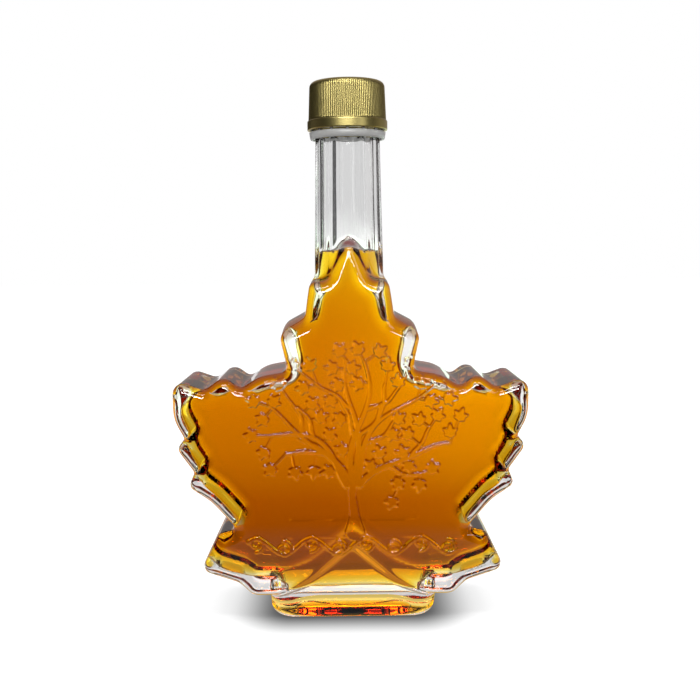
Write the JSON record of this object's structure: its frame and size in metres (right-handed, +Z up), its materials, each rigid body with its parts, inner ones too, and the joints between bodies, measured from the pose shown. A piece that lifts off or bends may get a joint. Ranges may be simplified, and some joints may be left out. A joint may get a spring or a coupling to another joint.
{
  "type": "leaf-shaped syrup bottle",
  "caption": "Clear glass bottle in the outline of a lobed leaf, filled with amber syrup, with a tall panelled neck, an oblong foot, a ribbed gold screw cap and a clear tamper ring.",
  "frame": {"origin": "on the ground at the middle of the bottle's foot", "axes": "+Z up along the neck, the leaf's front panel faces -Y, +X to the right seen from the front"},
  "size_m": [0.1218, 0.041, 0.1876],
  "materials": {
    "glass": "clear, glossy",
    "syrup": "clear amber liquid",
    "cap": "satin gold lacquer on thin metal, ribbed",
    "ring": "clear, slightly milky"
  },
  "bodies": {
    "root": {"glass_bottle": "glass", "syrup": "syrup", "cap": "cap", "tamper_ring": "ring"}
  },
  "joints": []
}
